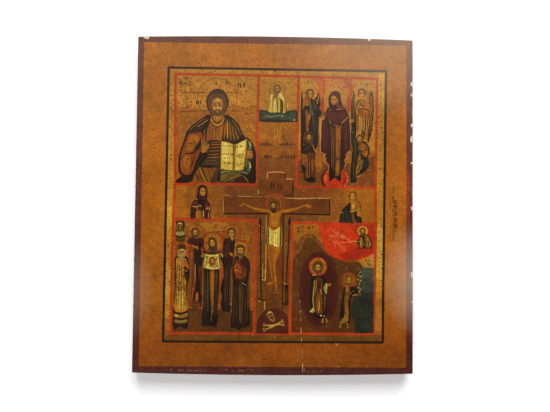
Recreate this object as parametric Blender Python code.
"""A painted icon panel, lying on its back.

The panel is one wooden board with two tapered battens driven into dovetailed slots
across its back, and a thin coat of gesso and paint over its face. Lengths are metres.
+X is the picture's right, +Y its top and +Z points out of the painted face.
"""

import math

import bmesh
import bpy

# Board
PANEL_WIDTH = 0.258
PANEL_HEIGHT = 0.315
BOARD_THICKNESS = 0.023
# The top and bottom edges are planed slightly round: the corners lie this much lower
END_CROWN = 0.0018
# The left edge isn't quite square: its foot stands this much further out than its head
LEFT_EDGE_LEAN = 0.0008
CORNER_ROUNDING = 0.0014
BACK_CHAMFER = 0.0010
CROWN_SEGMENTS = 19

# Gesso and paint
GESSO_THICKNESS = 0.0015
GESSO_ROUNDING = 0.0012

# Clearance between pieces that touch
PIECE_GAP = 0.0003

# Battens
BATTEN_WIDE_END = 0.034
BATTEN_NARROW_END = 0.028
BATTEN_LET_IN = 0.0065
BATTEN_PROUD = 0.0025
BATTEN_UNDERCUT = 0.0016
BATTEN_CHAMFER = 0.0008
BATTEN_OPEN_END_INSET = 0.0008
BATTEN_BLIND_MARGIN = 0.024
# Distance of each batten's middle from the panel's nearer end
BATTEN_FROM_END = 0.0695

# Split that runs up from the bottom edge, measured from the panel's centre line
SPLIT_FOOT_X = 0.0275
SPLIT_HEAD_X = 0.0212
SPLIT_LENGTH = 0.1245
SPLIT_WIDTH = 0.0007
SPLIT_DEPTH_IN_BOARD = 0.0045

# Chips out of the gesso's edge: side, place as a share of the half side, length, bite into the face
EDGE_CHIPS = (
    ("top", -0.934, 0.0056, 0.0017),
    ("top", -0.876, 0.0022, 0.0010),
    ("top", 0.682, 0.0026, 0.0010),
    ("right", 0.921, 0.0130, 0.0007),
    ("right", 0.838, 0.0085, 0.0006),
    ("right", 0.460, 0.0050, 0.0008),
    ("right", 0.400, 0.0055, 0.0009),
    ("right", 0.013, 0.0130, 0.0010),
    ("right", -0.476, 0.0100, 0.0014),
    ("bottom", -0.612, 0.0130, 0.0007),
    ("bottom", -0.205, 0.0048, 0.0008),
    ("bottom", 0.326, 0.0076, 0.0007),
)
CHIP_SLOPE = 0.55
CHIP_SIDES = 12

# How far a cutter reaches past the faces it cuts
OVERRUN = 0.004

# Heights, from the battens' undersides at zero
BACK_Z = BATTEN_PROUD
BOARD_FRONT_Z = BACK_Z + BOARD_THICKNESS
GESSO_BACK_Z = BOARD_FRONT_Z + PIECE_GAP
GESSO_FRONT_Z = GESSO_BACK_Z + GESSO_THICKNESS

HALF_WIDTH = PANEL_WIDTH / 2
HALF_HEIGHT = PANEL_HEIGHT / 2
BATTEN_Y = HALF_HEIGHT - BATTEN_FROM_END


def clear_scene():
    """Remove every object that the file opened with."""
    for item in list(bpy.data.objects):
        bpy.data.objects.remove(item, do_unlink=True)


def principled(name, colour, roughness):
    """A material with one Principled BSDF."""
    material = bpy.data.materials.new(name)
    material.use_nodes = True
    shader = material.node_tree.nodes["Principled BSDF"]
    shader.inputs["Base Color"].default_value = (*colour, 1.0)
    shader.inputs["Roughness"].default_value = roughness
    shader.inputs["Metallic"].default_value = 0.0
    material.diffuse_color = (*colour, 1.0)
    return material


def new_object(name, bm, material=None):
    """Turn a bmesh into an object in the scene."""
    bmesh.ops.recalc_face_normals(bm, faces=bm.faces)
    mesh = bpy.data.meshes.new(name)
    bm.to_mesh(mesh)
    bm.free()
    item = bpy.data.objects.new(name, mesh)
    bpy.context.scene.collection.objects.link(item)
    if material:
        mesh.materials.append(material)
    return item


def cut(item, cutter):
    """Subtract a cutter, which stays in the scene as a wire and isn't a piece."""
    cutter.hide_render = True
    cutter.display_type = "WIRE"
    modifier = item.modifiers.new(cutter.name, "BOOLEAN")
    modifier.operation = "DIFFERENCE"
    modifier.solver = "EXACT"
    modifier.object = cutter


def end_distance(x):
    """Distance of the crowned top or bottom edge from the panel's centre line."""
    return HALF_HEIGHT - END_CROWN * (x / HALF_WIDTH) ** 2


def side_distance(side, y):
    """Distance of the left or right edge from the panel's centre line."""
    lean = LEFT_EDGE_LEAN if side == "left" else 0.0
    return HALF_WIDTH - lean * y / PANEL_HEIGHT


def panel_outline():
    """The panel's outline, anticlockwise from the bottom left corner."""
    points = []
    for step in range(CROWN_SEGMENTS + 1):
        share = step / CROWN_SEGMENTS
        x = share * HALF_WIDTH - (1 - share) * side_distance("left", -HALF_HEIGHT)
        points.append((x, -end_distance(x)))
    for step in range(CROWN_SEGMENTS + 1):
        share = step / CROWN_SEGMENTS
        x = (1 - share) * HALF_WIDTH - share * side_distance("left", HALF_HEIGHT)
        points.append((x, end_distance(x)))
    return points


def loft(bm, rings):
    """Skin closed rings of equal length into one solid with flat ends."""
    loops = [[bm.verts.new(point) for point in ring] for ring in rings]
    count = len(loops[0])
    for lower, upper in zip(loops, loops[1:]):
        for index in range(count):
            following = (index + 1) % count
            bm.faces.new((lower[index], lower[following], upper[following], upper[index]))
    bm.faces.new(list(reversed(loops[0])))
    bm.faces.new(loops[-1])


def plate(low_z, high_z):
    """A slab with the panel's outline and rounded corners."""
    bm = bmesh.new()
    outline = panel_outline()
    loft(bm, [[(x, y, z) for x, y in outline] for z in (low_z, high_z)])
    corners = [edge for edge in bm.edges if is_corner(edge)]
    bmesh.ops.bevel(bm, geom=corners, offset=CORNER_ROUNDING, segments=3, profile=0.5, affect="EDGES")
    return bm


def is_corner(edge):
    """True for the slab's four upright corner edges."""
    first, second = (vert.co for vert in edge.verts)
    upright = abs(first.z - second.z) > 0.5 * GESSO_THICKNESS
    at_end = abs(abs(first.y) - end_distance(HALF_WIDTH)) < 0.5 * END_CROWN
    at_side = abs(first.x) > HALF_WIDTH - 0.5 * CORNER_ROUNDING
    return upright and at_end and at_side


def ease_edges(bm, z, size, segments):
    """Round or chamfer the slab's edges that lie at one height."""
    edges = [edge for edge in bm.edges if all(abs(vert.co.z - z) < 0.00001 for vert in edge.verts)]
    bmesh.ops.bevel(bm, geom=edges, offset=size, segments=segments, profile=0.5, affect="EDGES")


def batten_half_width(x, open_side):
    """Half of a batten's width at its back face, which tapers from the open end inwards."""
    length = PANEL_WIDTH - BATTEN_BLIND_MARGIN
    share = (HALF_WIDTH - open_side * x) / length
    return 0.5 * (BATTEN_WIDE_END + (BATTEN_NARROW_END - BATTEN_WIDE_END) * share)


def batten_section(x, y, half_width):
    """A batten's dovetailed cross-section, with eased lower edges."""
    top_z = BACK_Z + BATTEN_LET_IN
    half = (
        (half_width + BATTEN_UNDERCUT, top_z),
        (half_width, BACK_Z),
        (half_width, BATTEN_CHAMFER),
        (half_width - BATTEN_CHAMFER, 0.0),
    )
    right = [(x, y + offset, z) for offset, z in half]
    left = [(x, y - offset, z) for offset, z in reversed(half)]
    return right + left


def slot_section(x, y, half_width):
    """The slot's cross-section: the batten's, with clearance all round."""
    half = (
        (half_width + BATTEN_UNDERCUT + PIECE_GAP, BACK_Z + BATTEN_LET_IN + PIECE_GAP),
        (half_width + PIECE_GAP, BACK_Z),
        (half_width + PIECE_GAP, BACK_Z - OVERRUN),
    )
    right = [(x, y + offset, z) for offset, z in half]
    left = [(x, y - offset, z) for offset, z in reversed(half)]
    return right + left


def tapered_bar(name, section, y, open_side, open_x, blind_x, material=None):
    """A bar lofted between a section at its open end and one at its blind end."""
    bm = bmesh.new()
    rings = []
    for x in (open_x, blind_x):
        rings.append(section(x, y, batten_half_width(x, open_side)))
    loft(bm, rings)
    return new_object(name, bm, material)


def make_batten(name, y, open_side, material):
    """One batten, driven in from the side that open_side gives the sign of."""
    open_x = open_side * (HALF_WIDTH - BATTEN_OPEN_END_INSET)
    blind_x = -open_side * (HALF_WIDTH - BATTEN_BLIND_MARGIN)
    return tapered_bar(name, batten_section, y, open_side, open_x, blind_x, material)


def make_slot_cutter(name, y, open_side):
    """The cutter for one batten's slot, open at one side of the board."""
    open_x = open_side * (HALF_WIDTH + LEFT_EDGE_LEAN + OVERRUN)
    blind_x = -open_side * (HALF_WIDTH - BATTEN_BLIND_MARGIN + PIECE_GAP)
    return tapered_bar(name, slot_section, y, open_side, open_x, blind_x)


def make_split_cutter():
    """A thin wedge along the split, widest at the bottom edge and closing upwards."""
    bm = bmesh.new()
    foot_y = -HALF_HEIGHT - OVERRUN
    head_y = SPLIT_LENGTH - HALF_HEIGHT
    foot_x = SPLIT_FOOT_X - (SPLIT_HEAD_X - SPLIT_FOOT_X) / SPLIT_LENGTH * OVERRUN
    half = SPLIT_WIDTH / 2
    triangle = ((foot_x - half, foot_y), (foot_x + half, foot_y), (SPLIT_HEAD_X, head_y))
    depths = (BOARD_FRONT_Z - SPLIT_DEPTH_IN_BOARD, GESSO_FRONT_Z + OVERRUN)
    loft(bm, [[(x, y, z) for x, y in triangle] for z in depths])
    return new_object("split_cutter", bm)


def chip_centre(side, share):
    """The point on the outline that a chip is centred on, and the way along the edge."""
    if side == "right":
        y = share * HALF_HEIGHT
        return side_distance(side, y), y, (0.0, 1.0)
    x = share * HALF_WIDTH
    y = end_distance(x)
    return x, y if side == "top" else -y, (1.0, 0.0)


def make_chip_cutter():
    """Sloping lens-shaped bites, all in one cutter."""
    bm = bmesh.new()
    for side, share, length, bite in EDGE_CHIPS:
        x, y, (along_x, along_y) = chip_centre(side, share)
        rings = []
        for z, scale in ((GESSO_BACK_Z - OVERRUN, CHIP_SLOPE), (GESSO_FRONT_Z + OVERRUN, 2 - CHIP_SLOPE)):
            ring = []
            for step in range(CHIP_SIDES):
                angle = math.tau * (step + 0.5) / CHIP_SIDES
                run = 0.5 * length * scale * math.cos(angle)
                depth = bite * scale * math.sin(angle)
                ring.append((x + along_x * run + along_y * depth, y + along_y * run + along_x * depth, z))
            rings.append(ring)
        loft(bm, rings)
    return new_object("chip_cutter", bm)


def make_board(material):
    """The board, with its eased back edges, batten slots and split."""
    bm = plate(BACK_Z, BOARD_FRONT_Z)
    ease_edges(bm, BACK_Z, BACK_CHAMFER, 1)
    return new_object("board", bm, material)


def make_gesso(material):
    """The coat of gesso and paint, rounded over at its edges."""
    bm = plate(GESSO_BACK_Z, GESSO_FRONT_Z)
    ease_edges(bm, GESSO_FRONT_Z, GESSO_ROUNDING, 3)
    return new_object("gesso_ground", bm, material)


def build():
    """Model the whole panel."""
    clear_scene()
    board = make_board(principled("aged_board_wood", (0.20, 0.12, 0.065), 0.78))
    gesso = make_gesso(principled("painted_gesso", (0.42, 0.20, 0.05), 0.42))
    battens = (("batten_upper", BATTEN_Y, 1), ("batten_lower", -BATTEN_Y, -1))
    for name, y, open_side in battens:
        wood = principled(name + "_wood", (0.24, 0.15, 0.085), 0.74)
        make_batten(name, y, open_side, wood)
        cut(board, make_slot_cutter(name + "_slot_cutter", y, open_side))
    split = make_split_cutter()
    cut(board, split)
    cut(gesso, split)
    cut(gesso, make_chip_cutter())


build()
